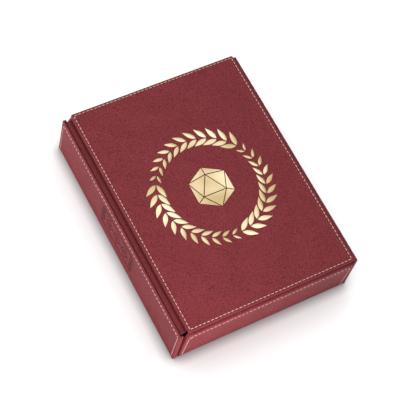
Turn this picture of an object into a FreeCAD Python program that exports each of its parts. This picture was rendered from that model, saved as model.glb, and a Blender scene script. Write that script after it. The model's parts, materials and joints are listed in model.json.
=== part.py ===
"""Folding dice tray shaped like a closed book.

A base panel carries four walls that stand up round it and fold out flat on leather folds. A stitched
cover panel closes the top and hangs from the spine wall on a flexible hinge strip. Every panel is a
sandwich: a leather skin with turned edges, a grey board and a black velvet lining.

Millimetres. The origin is the centre of the base's underside, +Z up, the spine on -X, the front on -Y.
"""
import FreeCAD, Part
import math
import os
import re

# Driving sizes: name, value, meaning.
SIZES = [
    ("tray_length", 240.0, "outside length along Y, with the walls upright"),
    ("tray_width", 187.0, "outside width along X, spine to fore-edge"),
    ("wall_height", 51.2, "top of an upright wall above the table"),
    ("skin_thick", 1.0, "leather skin, and the width of its turned edge"),
    ("board_thick", 2.0, "grey board inside each panel"),
    ("lining_thick", 0.6, "velvet lining"),
    ("skin_round", 0.7, "rounding of the skin's outer edges"),
    ("fold_radius", 1.5, "outside radius of the leather at a wall's fold"),
    ("panel_gap", 0.3, "clearance between neighbouring panels"),
    ("wall_corner", 4.5, "radius of a side wall's two top corners"),
    ("end_corner", 1.5, "radius of a long wall's two top corners"),
    ("side_start", 6.2, "left end of the side walls, from the spine's outer face"),
    ("front_lean", 2.5, "degrees that the front wall leans outwards at rest"),
    ("cover_gap", 0.8, "crease between the hinge strip and the cover"),
    ("cover_short", 4.7, "cover's right edge, in from the fore-edge wall's outer face"),
    ("cover_lift", 0.9, "gap from the wall tops to the cover's underside"),
    ("cover_corner", 1.5, "radius of the cover's four corners"),
    ("least_round", 0.4, "smallest corner radius of a board or a lining"),
    ("strip_start", 2.1, "hinge strip's left edge, from the spine's outer face"),
    ("strip_width", 5.1, "hinge strip, across the book"),
    ("strip_thick", 1.2, "hinge strip leather"),
    ("strip_inset", 1.9, "hinge strip's ends, in from the spine's ends"),
    ("strip_gap", 0.4, "clearance between the hinge strip and the spine board"),
    ("crease_thick", 0.6, "thin leather at the two creases of the hinge strip"),
    ("tongue_width", 9.0, "part of the strip leather glued under the cover"),
    ("tongue_thick", 0.8, "thickness of the glued tongue"),
    ("thread_wide", 0.6, "width of a row of topstitching"),
    ("thread_deep", 0.3, "depth of its groove in the skin"),
    ("cover_margin", 2.3, "topstitching in from the cover's edge"),
    ("wall_margin", 4.6, "topstitching down from a wall's top edge"),
    ("end_margin", 3.2, "topstitching in from a wall's ends"),
    ("side_chamfer", 4.0, "cut corner of the topstitching on a side wall"),
    ("end_chamfer", 1.6, "cut corner of the topstitching on a long wall"),
    ("magnet_width", 6.0, "diameter of the disc magnets in the boards"),
    ("magnet_thick", 1.6, "thickness of the disc magnets"),
    ("magnet_slack", 0.1, "radial room round a magnet"),
    ("magnet_edge", 6.5, "magnet's centre in from a panel's edge"),
    ("magnet_drop", 12.8, "corner magnet's centre down from a wall's top edge"),
    ("latch_spacing", 120.0, "distance between the two cover magnets"),
    ("foil_thick", 0.15, "raised gold foil"),
    ("die_radius", 22.2, "centre to corner of the foil die's hexagon"),
    ("die_core", 0.607, "inner triangle of the foil die, as a share of its hexagon"),
    ("die_line", 0.9, "gap between two facets of the foil die"),
    ("wreath_radius", 52.0, "middle circle of the foil wreath"),
    ("spray_count", 3.0, "sprays that follow each other round the wreath"),
    ("spray_turn", 35.0, "degrees from +X to the first spray's stalk"),
    ("leaf_pairs", 11.0, "pairs of leaves in a spray"),
    ("leaf_length", 15.0, "largest leaf, stalk to tip"),
    ("leaf_width", 4.9, "largest leaf, across"),
    ("leaf_taper", 0.45, "share of its size that the last leaf of a spray lacks"),
    ("leaf_lean", 36.0, "degrees from the wreath's circle to a leaf"),
    ("leaf_start", 0.6, "a leaf's stalk, in or out from the wreath's circle"),
    ("deboss_deep", 0.3, "depth of the ornament pressed into the spine"),
    ("deboss_line", 1.2, "width of the ornament's lines"),
    ("ornament_length", 56.0, "ornament along the spine"),
    ("ornament_height", 26.0, "ornament up the spine"),
    ("ornament_offset", 0.5, "ornament's centre from the middle of the spine, towards the front"),
    ("ornament_margin", 5.4, "lozenges in from the ornament's edge"),
]

# Sizes worked out from the driving ones, written as text so that the document's expressions use them.
DERIVED = {
    "cover_width": "(tray_width - cover_start - cover_short)",
    "cover_start": "(strip_end + cover_gap)",
    "panel_thick": "(skin_thick + board_thick + lining_thick)",
    "lined_board": "(board_thick + lining_thick)",
    "cover_bottom": "(wall_height + cover_lift)",
    "side_length": "(tray_width - side_start - skin_thick - board_thick - lining_thick - panel_gap)",
    "floor_inset": "(skin_thick + board_thick + lining_thick + panel_gap)",
    "strip_end": "(strip_start + strip_width)",
    "strip_bottom": "(wall_height - strip_thick)",
}

DOC = FreeCAD.newDocument("dice_tray")
SHEET = DOC.addObject("Spreadsheet::Sheet", "sizes")
WORD = re.compile(r"[a-z]+(?:_[a-z]+)+")
NODES = []
CLOSE = 1e-6  # millimetres within which two positions count as the same


def fill_sheet():
    """Write each driving size, its name and its meaning on a row of the sheet."""
    for row, (name, value, meaning) in enumerate(SIZES, start=1):
        SHEET.set(f"A{row}", name)
        SHEET.set(f"B{row}", str(value))
        SHEET.set(f"C{row}", meaning)
        SHEET.setAlias(f"B{row}", name)
    DOC.recompute()


def size(name):
    """The number that a driving or a derived size has."""
    return float(SHEET.evalExpression(full(name)))


def full(text):
    """An expression with derived names spelled out and sheet names prefixed."""
    for name, meaning in DERIVED.items():
        text = re.sub(rf"\b{name}\b", meaning, text)
    return WORD.sub(lambda found: "sizes." + found.group(0), text)


def bind(thing, **texts):
    """Tie properties of an object to expressions. Double underscores stand for dots."""
    for name, text in texts.items():
        thing.setExpression(name.replace("__", "."), full(text))
    return thing


def at(thing, x="0", y="0", z="0"):
    """Tie an object's position to three expressions."""
    thing.setExpression("Placement.Base.x", full(x))
    thing.setExpression("Placement.Base.y", full(y))
    thing.setExpression("Placement.Base.z", full(z))
    return thing


def box(name, lengths, corner=("0", "0", "0")):
    """A block with its three lengths and its lowest corner as expressions."""
    block = DOC.addObject("Part::Box", name)
    bind(block, Length=lengths[0], Width=lengths[1], Height=lengths[2])
    return at(block, *corner)


def disc(name, diameter, height, centre):
    """An upright cylinder with its size and the centre of its lower face as expressions."""
    cylinder = DOC.addObject("Part::Cylinder", name)
    bind(cylinder, Radius=f"({diameter}) / 2", Height=height)
    return at(cylinder, *centre)


def cut(name, base, tool):
    """base with tool taken away."""
    result = DOC.addObject("Part::Cut", name)
    result.Base = base
    result.Tool = tool
    return result


def joined(name, things):
    """Several objects held as one compound."""
    result = DOC.addObject("Part::Compound", name)
    result.Links = things
    return result


def solid(name, shape):
    """An object that holds a shape made in code from the sheet's sizes."""
    feature = DOC.addObject("Part::Feature", name)
    feature.Shape = shape
    return feature


def rounded(name, base, radius, wanted):
    """base with a radius on each edge that wanted accepts."""
    DOC.recompute()
    edges = [i for i, edge in enumerate(base.Shape.Edges, start=1) if wanted(edge)]
    result = DOC.addObject("Part::Fillet", name)
    result.Base = base
    result.Edges = [(i, radius, radius) for i in edges]
    return result


def upright_edge(above=-math.inf):
    """Accepts an edge that runs along Z and lies above the line Y = above."""
    def wanted(edge):
        bounds = edge.BoundBox
        upright = bounds.XLength < CLOSE and bounds.YLength < CLOSE
        return upright and bounds.YMin > above
    return wanted


def level_edge(height, above=-math.inf):
    """Accepts an edge in the plane Z = height that reaches above the line Y = above."""
    def wanted(edge):
        bounds = edge.BoundBox
        level = abs(bounds.ZMin - height) < CLOSE and abs(bounds.ZMax - height) < CLOSE
        return level and bounds.YMax > above + CLOSE
    return wanted


def keep(thing, node, placement=None):
    """Give a finished sub-part its name and its place, and list it for export."""
    thing.Label = node
    if placement is not None:
        thing.Placement = placement
    NODES.append(thing)
    return thing


def ribbon(points, width, closed=False):
    """A flat face of even width along a line of points in the XY plane, with mitred corners."""
    count = len(points)
    sides = ([], [])
    for i, (x, y) in enumerate(points):
        before = points[i - 1] if closed or i else None
        after = points[(i + 1) % count] if closed or i < count - 1 else None
        steps = []
        if before is not None:
            steps.append(FreeCAD.Vector(x - before[0], y - before[1], 0).normalize())
        if after is not None:
            steps.append(FreeCAD.Vector(after[0] - x, after[1] - y, 0).normalize())
        along = sum(steps, FreeCAD.Vector()).normalize()
        across = FreeCAD.Vector(-along.y, along.x, 0)
        reach = width / 2 / along.dot(steps[0])
        sides[0].append(FreeCAD.Vector(x, y, 0) + across * reach)
        sides[1].append(FreeCAD.Vector(x, y, 0) - across * reach)
    if closed:
        loops = [Part.Face(Part.makePolygon(side + side[:1])) for side in sides]
        loops.sort(key=lambda face: face.Area)
        return loops[1].cut(loops[0])
    outline = sides[0] + sides[1][::-1]
    return Part.Face(Part.makePolygon(outline + outline[:1]))


def thread_solid(points, top, closed=False):
    """A row of topstitching, flush with the plane Z = top."""
    depth = size("thread_deep")
    face = ribbon(points, size("thread_wide"), closed)
    face.translate(FreeCAD.Vector(0, 0, top - depth))
    return face.extrude(FreeCAD.Vector(0, 0, depth))


# ---------------------------------------------------------------------------------------------------
# Panels. A wall is modelled lying down: X along it, Y up the wall from the table, Z from the lining
# (0) to the outer face (panel_thick). The cover is modelled the same way, lying as it does in use.
# ---------------------------------------------------------------------------------------------------


def wall_thread_points(length, chamfer):
    """The topstitching of a wall: up one end, along the top with cut corners, down the other end."""
    end = size("end_margin")
    low = size("fold_radius") + size("skin_thick")
    top = size("wall_height") - size("wall_margin")
    return [(end, low), (end, top - chamfer), (end + chamfer, top),
            (length - end - chamfer, top), (length - end, top - chamfer), (length - end, low)]


def wall_placement(name, lean=0.0):
    """Where a wall modelled lying down stands: its turn about Z and its inner face's lower corner."""
    half_x = size("tray_width") / 2
    half_y = size("tray_length") / 2
    thick = size("panel_thick")
    side_end = size("side_start") + size("side_length")
    turn, x, y = {
        "front": (0, size("side_start") - half_x, thick - half_y),
        "back": (180, side_end - half_x, half_y - thick),
        "spine": (-90, thick - half_x, half_y),
        "fore_edge": (90, half_x - thick, -half_y),
    }[name]
    upright = FreeCAD.Rotation(FreeCAD.Vector(1, 0, 0), 90)
    stand = FreeCAD.Placement(FreeCAD.Vector(x, y, 0),
                              FreeCAD.Rotation(FreeCAD.Vector(0, 0, 1), turn) * upright)
    if not lean:
        return stand
    inset = fold_axis_inset()
    pivot = FreeCAD.Vector(0, inset - half_y, inset)
    tilt = FreeCAD.Placement(FreeCAD.Vector(), FreeCAD.Rotation(FreeCAD.Vector(1, 0, 0), lean), pivot)
    return tilt * stand


def fold_axis_inset():
    """A fold's axis from the outer faces, so that the leather keeps its length from upright to flat."""
    outer = size("fold_radius")
    middle = outer - size("skin_thick") / 2
    return outer - middle * math.pi / 4


def panel_core(name, lengths, corner, radius, corners, holes=None):
    """A board or a lining: a block with round corners where corners accepts an edge, and its holes."""
    plate = box(f"{name}_block", lengths, corner)
    plate = rounded(f"{name}_plate", plate, radius, corners)
    if holes:
        plate = cut(f"{name}_bored", plate, joined(f"{name}_holes", holes))
    return plate


def core_radius(corner):
    """The corner radius of a board inside a skin whose own corner radius is given."""
    return max(size(corner) - size("skin_thick"), size("least_round"))


def magnet_discs(name, centres, slack, height, floor):
    """One cylinder for each centre, with some radial room when it is a hole."""
    width = f"magnet_width + 2 * ({slack})"
    return [disc(f"{name}_{i}", width, height, (x, y, floor)) for i, (x, y) in enumerate(centres)]


def make_wall(node, length_text, length, corner, chamfer, core_top, centres, lean=0.0, presses=()):
    """One wall with its skin, board, lining, topstitching, magnets and fold.

    presses are the shapes taken out of the skin besides its hollow and the groove of its thread.
    """
    thick = size("panel_thick")
    place = wall_placement(node, lean)
    low = "fold_radius"
    rim = "skin_thick"
    upper = upright_edge(size("wall_height") / 2)
    core_lengths = (f"{length_text} - 2 * {rim}", f"{core_top} - {low}")
    core_corner = core_radius(corner)

    outer = box(f"{node}_outer", (length_text, f"wall_height - {low}", "panel_thick"), ("0", low, "0"))
    outer = rounded(f"{node}_cornered", outer, size(corner), upper)
    outer = rounded(f"{node}_softened", outer, size("skin_round"), level_edge(thick, size(low)))
    hollow = panel_core(f"{node}_hollow", (*core_lengths, "lined_board"), (rim, low, "0"),
                        core_corner, upper)
    thread = thread_solid(wall_thread_points(length, chamfer), thick)
    tools = [hollow, solid(f"{node}_thread_groove", thread), *presses]
    skin = cut(f"{node}_skin", outer, joined(f"{node}_skin_tools", tools))
    keep(skin, f"{node}_skin", place)

    holes = magnet_discs(f"{node}_hole", centres, "magnet_slack", "board_thick", "lining_thick")
    board = panel_core(f"{node}_board", (*core_lengths, "board_thick"), (rim, low, "lining_thick"),
                       core_corner, upper, holes)
    keep(board, f"{node}_board", place)
    lining = panel_core(f"{node}_lining", (*core_lengths, "lining_thick"), (rim, low, "0"),
                        core_corner, upper)
    keep(lining, f"{node}_lining", place)
    keep(solid(f"{node}_thread", thread), f"{node}_stitching", place)
    floor = "lining_thick + (board_thick - magnet_thick) / 2"
    magnets = magnet_discs(f"{node}_magnet", centres, "0", "magnet_thick", floor)
    keep(joined(f"{node}_magnet_set", magnets), f"{node}_magnets", place)
    make_fold(node, length_text, lean)


def make_fold(node, length_text, lean):
    """The leather that bends from the base's skin into a wall's skin: part of a tube, lying along X."""
    directions = (FreeCAD.Vector(0, -1, 0), FreeCAD.Vector(0, 0, 1), FreeCAD.Vector(-1, 0, 0))
    turn = FreeCAD.Rotation(*directions, "ZXY")
    pipes = []
    for part, radius in (("outside", "fold_radius"), ("inside", "fold_radius - skin_thick")):
        pipe = DOC.addObject("Part::Cylinder", f"{node}_fold_{part}")
        pipe.Placement = FreeCAD.Placement(FreeCAD.Vector(), turn)
        bind(pipe, Radius=radius, Height=length_text)
        pipe.Angle = 90.0 - lean if part == "outside" else 360.0
        at(pipe, length_text, "fold_radius", "panel_thick - fold_radius")
        pipes.append(pipe)
    keep(cut(f"{node}_fold", *pipes), f"{node}_fold", wall_placement(node))


def end_magnets(length_text):
    """A magnet near each top corner of a wall."""
    height = "wall_height - magnet_drop"
    return [("magnet_edge", height), (f"{length_text} - magnet_edge", height)]


def make_walls():
    """The spine wall, the two side walls and the fore-edge wall."""
    side_text = "side_length"
    side = size("side_length")
    long_side = size("tray_length")
    spine_core_top = "strip_bottom - strip_gap"
    ledge = box("spine_ledge", ("tray_length", f"wall_height - ({spine_core_top})", "lined_board"),
                ("0", spine_core_top, "0"))
    make_wall("spine", "tray_length", long_side, "end_corner", size("end_chamfer"), spine_core_top,
              end_magnets("tray_length"), presses=(ledge, solid("spine_deboss", spine_ornament())))
    make_wall("front", side_text, side, "wall_corner", size("side_chamfer"), "wall_height - skin_thick",
              end_magnets(side_text), lean=size("front_lean"))
    make_wall("back", side_text, side, "wall_corner", size("side_chamfer"), "wall_height - skin_thick",
              end_magnets(side_text))
    latch = [(f"tray_length / 2 {sign} latch_spacing / 2", "wall_height - magnet_edge")
             for sign in ("-", "+")]
    make_wall("fore_edge", "tray_length", long_side, "end_corner", size("end_chamfer"),
              "wall_height - skin_thick", end_magnets("tray_length") + latch)


def lozenge(x, y, half_x, half_y):
    """The four corners of a lozenge."""
    return [(x + half_x, y), (x, y + half_y), (x - half_x, y), (x, y - half_y)]


def spine_ornament():
    """A plain geometric ornament pressed into the spine: three linked lozenges in a lined frame."""
    line = size("deboss_line")
    depth = size("deboss_deep")
    half_x = size("ornament_length") / 2
    half_y = size("ornament_height") / 2
    x = size("tray_length") / 2 + size("ornament_offset")
    y = size("wall_height") / 2
    faces = []
    for inset in (0.0, 2 * line):
        frame = [(x + sx * (half_x - inset), y + sy * (half_y - inset))
                 for sx, sy in ((1, 1), (-1, 1), (-1, -1), (1, -1))]
        faces.append(ribbon(frame, line if not inset else line / 2, closed=True))
    reach_y = half_y - size("ornament_margin")
    reach_x = (half_x - size("ornament_margin")) / 3
    for step in (-2, 0, 2):
        faces.append(ribbon(lozenge(x + step * reach_x, y, reach_x - line, reach_y), line, closed=True))
        small = lozenge(x + step * reach_x, y, reach_x / 3, reach_y / 3)
        faces.append(Part.Face(Part.makePolygon([FreeCAD.Vector(*p, 0) for p in small + small[:1]])))
    top = size("panel_thick")
    presses = []
    for face in faces:
        face.translate(FreeCAD.Vector(0, 0, top - depth))
        presses.append(face.extrude(FreeCAD.Vector(0, 0, depth)))
    return Part.makeCompound(presses)


def make_base():
    """The floor of the tray: a skin that runs out to the folds, a board and a lining inside the walls."""
    shift = ("-tray_width / 2", "-tray_length / 2")
    skin = box("base_skin_block", ("tray_width - 2 * fold_radius", "tray_length - 2 * fold_radius",
                                   "skin_thick"),
               (f"{shift[0]} + fold_radius", f"{shift[1]} + fold_radius", "0"))
    keep(skin, "base_skin")
    inside = ("tray_width - 2 * floor_inset", "tray_length - 2 * floor_inset")
    corner = (f"{shift[0]} + floor_inset", f"{shift[1]} + floor_inset")
    keep(box("base_board_block", (*inside, "board_thick"), (*corner, "skin_thick")), "base_board")
    keep(box("base_lining_block", (*inside, "lining_thick"), (*corner, "skin_thick + board_thick")),
         "base_lining")


def make_hinge():
    """The recessed leather strip between spine and cover, its two thin creases and its glued tongue."""
    x = "-tray_width / 2"
    y = "-tray_length / 2 + strip_inset"
    length = "tray_length - 2 * strip_inset"
    strip = box("strip_block", ("strip_width", length, "strip_thick"),
                (f"{x} + strip_start", y, "strip_bottom"))
    strip = rounded("strip_softened", strip, size("strip_thick") / 3, level_edge(size("wall_height")))
    keep(strip, "hinge_strip")
    keep(box("spine_crease_block", ("strip_start - skin_thick", length, "crease_thick"),
             (f"{x} + skin_thick", y, "strip_bottom")), "spine_crease")
    tongue_y = "-tray_length / 2 + floor_inset"
    tongue_length = "tray_length - 2 * floor_inset"
    keep(box("cover_crease_block", ("cover_start - strip_end", tongue_length, "crease_thick"),
             (f"{x} + strip_end", tongue_y, "cover_bottom - tongue_thick - crease_thick / 2")),
         "cover_crease")
    keep(box("tongue_block", ("tongue_width", tongue_length, "tongue_thick"),
             (f"{x} + cover_start", tongue_y, "cover_bottom - tongue_thick")), "cover_tongue")


def make_cover():
    """The stitched cover panel with its latch magnets."""
    place = FreeCAD.Placement(
        FreeCAD.Vector(size("cover_start") - size("tray_width") / 2, -size("tray_length") / 2,
                       size("wall_height") + size("cover_lift")), FreeCAD.Rotation())
    core_corner = core_radius("cover_corner")
    thick = size("panel_thick")
    rim = "skin_thick"
    outer = box("cover_outer", ("cover_width", "tray_length", "panel_thick"))
    outer = rounded("cover_cornered", outer, size("cover_corner"), upright_edge())
    outer = rounded("cover_softened", outer, size("skin_round"), level_edge(thick))
    inside = (f"cover_width - 2 * {rim}", f"tray_length - 2 * {rim}")
    margin = size("cover_margin")
    right = size("cover_width") - margin
    far = size("tray_length") - margin
    thread = thread_solid([(margin, margin), (right, margin), (right, far), (margin, far)], thick, True)
    hollow = panel_core("cover_hollow", (*inside, "lined_board"), (rim, rim, "0"), core_corner,
                        upright_edge())
    tools = joined("cover_skin_tools", [hollow, solid("cover_thread_groove", thread)])
    keep(cut("cover_skin", outer, tools), "cover_skin", place)
    centres = [("cover_width - magnet_edge", f"tray_length / 2 {sign} latch_spacing / 2")
               for sign in ("-", "+")]
    holes = magnet_discs("cover_hole", centres, "magnet_slack", "board_thick", "lining_thick")
    board = panel_core("cover_board", (*inside, "board_thick"), (rim, rim, "lining_thick"),
                       core_corner, upright_edge(), holes)
    keep(board, "cover_board", place)
    lining = panel_core("cover_lining", (*inside, "lining_thick"), (rim, rim, "0"), core_corner,
                        upright_edge())
    keep(lining, "cover_lining", place)
    keep(solid("cover_thread", thread), "cover_stitching", place)
    floor = "lining_thick + (board_thick - magnet_thick) / 2"
    magnets = magnet_discs("cover_magnet", centres, "0", "magnet_thick", floor)
    keep(joined("cover_magnet_set", magnets), "cover_magnets", place)


def emblem_placement():
    """The middle of the cover's outer face."""
    centre_x = size("cover_start") + size("cover_width") / 2 - size("tray_width") / 2
    return FreeCAD.Placement(
        FreeCAD.Vector(centre_x, 0, size("wall_height") + size("cover_lift") + size("panel_thick")),
        FreeCAD.Rotation())


def shrunk_triangle(corners, inset):
    """A triangle with each side moved inwards by inset."""
    a, b, c = corners
    sides = [(b - c).Length, (c - a).Length, (a - b).Length]
    around = sum(sides)
    middle = (a * sides[0] + b * sides[1] + c * sides[2]) * (1 / around)
    inner = (b - a).cross(c - a).Length / around
    return [middle + (corner - middle) * (1 - inset / inner) for corner in corners]


def die_facets():
    """The ten triangles seen on an icosahedron from above one face, in the XY plane."""
    outer = size("die_radius")
    core = outer * size("die_core")
    rim = [FreeCAD.Vector(outer * math.cos(math.radians(a)), outer * math.sin(math.radians(a)), 0)
           for a in range(90, 450, 60)]
    face = [FreeCAD.Vector(core * math.cos(math.radians(a)), core * math.sin(math.radians(a)), 0)
            for a in (90, 210, 330)]
    facets = [face]
    for i, corner in enumerate(face):
        after = face[(i + 1) % 3]
        between = rim[(2 * i + 1) % 6]
        facets.append([corner, between, after])
        facets.append([rim[2 * i], rim[2 * i + 1], corner])
        facets.append([rim[2 * i], corner, rim[(2 * i - 1) % 6]])
    return facets


def leaf_face(length, width, place):
    """A pointed leaf from two arcs, its stalk at the origin, moved to its place."""
    arcs = [Part.Arc(FreeCAD.Vector(0, 0, 0), FreeCAD.Vector(length / 2, side * width / 2, 0),
                     FreeCAD.Vector(length, 0, 0)).toShape() for side in (1, -1)]
    face = Part.Face(Part.Wire([arcs[0], arcs[1].reversed()]))
    face.Placement = place
    return face


def make_emblem():
    """Gold foil on the cover: a plain twenty-sided die inside a wreath of three leafy sprays."""
    place = emblem_placement()
    height = FreeCAD.Vector(0, 0, size("foil_thick"))
    prisms = []
    for corners in die_facets():
        corners = shrunk_triangle(corners, size("die_line") / 2)
        prisms.append(Part.Face(Part.makePolygon(corners + corners[:1])).extrude(height))
    keep(solid("die_prisms", Part.makeCompound(prisms)), "foil_die", place)

    radius = size("wreath_radius")
    pairs = int(size("leaf_pairs"))
    count = int(size("spray_count")) * pairs
    leaves = []
    for i in range(count):
        share = 1 - size("leaf_taper") * (i % pairs / (pairs - 1)) ** 2
        angle = size("spray_turn") + 360.0 / count * i
        around = FreeCAD.Rotation(FreeCAD.Vector(0, 0, 1), angle)
        for side in (1, -1):
            start = around.multVec(FreeCAD.Vector(radius + side * size("leaf_start"), 0, 0))
            turn = FreeCAD.Rotation(FreeCAD.Vector(0, 0, 1), angle + 90 - side * size("leaf_lean"))
            leaves.append(leaf_face(size("leaf_length") * share, size("leaf_width") * share,
                                    FreeCAD.Placement(start, turn)).extrude(height))
    keep(solid("wreath_leaves", Part.makeCompound(leaves)), "foil_wreath", place)


def check_document():
    """Stop if any object failed or any sub-part has no valid solid."""
    DOC.recompute()
    for thing in DOC.Objects:
        if "Invalid" in thing.State or "Error" in thing.State:
            raise RuntimeError(f"{thing.Name} ({thing.Label}) failed: {thing.State}")
    labels = [thing.Label for thing in NODES]
    if len(set(labels)) != len(labels):
        raise RuntimeError("two sub-parts share a name")
    for thing in NODES:
        if thing.Shape.isNull() or not thing.Shape.isValid() or not thing.Shape.Solids:
            raise RuntimeError(f"{thing.Label} has no valid solid")


def write_parts():
    """Write each sub-part to its own STEP file."""
    os.makedirs("parts", exist_ok=True)
    for thing in NODES:
        thing.Shape.exportStep(f"parts/{thing.Label}.step")
        print(f"{thing.Label}: {len(thing.Shape.Solids)} solids, {thing.Shape.Volume:.1f} mm3")


fill_sheet()
make_base()
make_walls()
make_hinge()
make_cover()
make_emblem()
check_document()
write_parts()
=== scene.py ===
"""Looks of a folding dice tray: burgundy leather over board, waxed thread, gold foil and black velvet.

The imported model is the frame. Places come from its boxes and joints, in metres, with the spine on -X, the
front on -Y and the table at Z = 0. A panel's meshes are modelled lying down in millimetres, X along it,
Y up or across it and Z = 0 at its leather face, and are then put in place.
"""

import json
import logging
import math
from collections.abc import Iterable
from dataclasses import dataclass, field
from enum import Enum

import bmesh
import bpy
from mathutils import Matrix, Vector, noise

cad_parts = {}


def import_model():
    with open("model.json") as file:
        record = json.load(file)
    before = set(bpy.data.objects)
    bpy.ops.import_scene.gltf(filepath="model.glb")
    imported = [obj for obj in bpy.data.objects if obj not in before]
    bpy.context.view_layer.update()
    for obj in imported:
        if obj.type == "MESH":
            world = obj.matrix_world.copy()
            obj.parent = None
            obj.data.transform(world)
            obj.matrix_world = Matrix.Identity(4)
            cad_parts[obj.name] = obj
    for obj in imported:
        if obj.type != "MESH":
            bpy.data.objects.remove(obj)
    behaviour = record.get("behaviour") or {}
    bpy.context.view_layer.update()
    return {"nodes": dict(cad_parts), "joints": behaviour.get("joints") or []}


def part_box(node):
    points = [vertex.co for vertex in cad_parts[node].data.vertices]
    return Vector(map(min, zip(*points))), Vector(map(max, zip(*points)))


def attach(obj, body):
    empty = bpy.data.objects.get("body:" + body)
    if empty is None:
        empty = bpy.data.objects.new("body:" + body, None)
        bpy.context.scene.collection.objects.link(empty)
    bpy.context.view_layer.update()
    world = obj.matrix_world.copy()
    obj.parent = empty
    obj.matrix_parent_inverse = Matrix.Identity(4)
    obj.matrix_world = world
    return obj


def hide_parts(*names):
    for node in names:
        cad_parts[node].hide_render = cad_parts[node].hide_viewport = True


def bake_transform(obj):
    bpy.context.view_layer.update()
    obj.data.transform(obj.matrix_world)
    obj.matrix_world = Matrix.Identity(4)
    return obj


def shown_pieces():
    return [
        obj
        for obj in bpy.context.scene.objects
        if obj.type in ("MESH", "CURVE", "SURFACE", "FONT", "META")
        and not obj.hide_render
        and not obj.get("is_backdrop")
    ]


MM = 0.001
SAME = 1e-4  # millimetres within which two places are the same
NEAR = 1e-3  # millimetres within which a point is at a face or an edge
QUARTER = math.radians(90)
SHARP_ANGLE = math.radians(38)
ALONG_X, ALONG_Y, ALONG_Z = Vector((1, 0, 0)), Vector((0, 1, 0)), Vector((0, 0, 1))
PAINTED_SHADE = "pressed"  # the mesh attribute that says where a leather is pressed in, creased or hidden, and darkened there with painted shade
LOG = logging.getLogger("dice_tray")

Point = tuple[float, float]
Mesh = bmesh.types.BMesh


class Body(Enum):
    """The bodies that the pieces ride on."""

    BASE = "base"
    SPINE = "spine_wall"
    FRONT = "front_wall"
    BACK = "back_wall"
    FORE_EDGE = "fore_edge_wall"
    STRIP = "hinge_strip"
    COVER = "cover"


class Slot(Enum):
    """The record's material slots."""

    LEATHER = "burgundy_leather"
    STRIP = "strip_leather"
    BOARD = "grey_board"
    VELVET = "black_velvet"
    THREAD = "cream_thread"
    FOIL = "gold_foil"
    NICKEL = "nickel_magnet"


# --- Numbers and places ---


def linear(colour: str) -> tuple[float, float, float, float]:
    """Turn an sRGB hex colour such as "#7a2f36" to the linear values that shaders take.

    Args:
        colour: the hex colour.

    Returns:
        Red, green, blue and alpha.
    """
    channels = [int(colour[i:i + 2], 16) / 255 for i in (1, 3, 5)]
    straight = [c / 12.92 if c <= 0.04045 else ((c + 0.055) / 1.055) ** 2.4 for c in channels]
    return (straight[0], straight[1], straight[2], 1.0)


def per_mm(millimetres: float) -> float:
    """The texture scale that repeats a pattern every so many millimetres."""
    return 1 / (millimetres * MM)


def smooth(low: float, high: float, value: float) -> float:
    """Rise smoothly from 0 at low to 1 at high."""
    share = min(1.0, max(0.0, (value - low) / (high - low)))
    return share * share * (3 - 2 * share)


def bell(offset: float, width: float) -> float:
    """A bell curve: 1 at no offset, falling to about a third at width."""
    return math.exp(-((offset / width) ** 2))


def segment_distance(x: float, y: float, start: Point, end: Point) -> float:
    """The distance from a point to a straight line between two points.

    Args:
        x: the point's first place.
        y: its second place.
        start: one end of the line.
        end: the other end.

    Returns:
        The distance.
    """
    run_x, run_y = end[0] - start[0], end[1] - start[1]
    share = ((x - start[0]) * run_x + (y - start[1]) * run_y) / (run_x ** 2 + run_y ** 2)
    share = min(1.0, max(0.0, share))
    return math.hypot(x - start[0] - share * run_x, y - start[1] - share * run_y)


def path_distance(x: float, y: float, path: list[Point]) -> float:
    """The distance from a point to the nearest line of a path."""
    return min(segment_distance(x, y, a, b) for a, b in zip(path, path[1:]))


def box_mm(node: str) -> tuple[Vector, Vector]:
    """A CAD node's lowest and highest corner in millimetres."""
    low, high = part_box(node)
    return low / MM, high / MM


def steps(start: float, end: float, spacing: float) -> list[float]:
    """Evenly spaced places strictly between two ends."""
    count = max(1, round((end - start) / spacing))
    return [start + (end - start) * i / count for i in range(1, count)]


# --- Nodes ---


def connect(material: bpy.types.Material, node: bpy.types.Node, inputs: dict[str, object]) -> None:
    """Fill a node's inputs.

    Args:
        material: the material or world that the node is in.
        node: the node.
        inputs: a plain value, or an output socket to link, for each named input.
    """
    for name, value in inputs.items():
        socket = next(s for s in node.inputs if s.enabled and s.name == name)
        if isinstance(value, bpy.types.NodeSocket):
            material.node_tree.links.new(value, socket)
        else:
            socket.default_value = value


def add_node(material: bpy.types.Material, kind: str, inputs: dict[str, object] | None = None,
             **settings: object) -> bpy.types.Node:
    """Add a node to a material or a world.

    Args:
        material: what the node goes into.
        kind: the node's class name.
        inputs: a plain value, or an output socket to link, for each named input.
        settings: the node's own properties.

    Returns:
        The new node.
    """
    node = material.node_tree.nodes.new(kind)
    for name, value in settings.items():
        setattr(node, name, value)
    connect(material, node, inputs or {})
    return node


def output(node: bpy.types.Node, name: str) -> bpy.types.NodeSocket:
    """A node's live output of that name."""
    return next(s for s in node.outputs if s.enabled and s.name == name)


def start_material(name: str) -> tuple[bpy.types.Material, bpy.types.Node]:
    """Start a material, and return it with its shader.

    Args:
        name: the material's name.

    Returns:
        The material and its shader.
    """
    material = bpy.data.materials.new(name)
    material.use_nodes = True
    return material, material.node_tree.nodes["Principled BSDF"]


# --- Finishes ---


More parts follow.
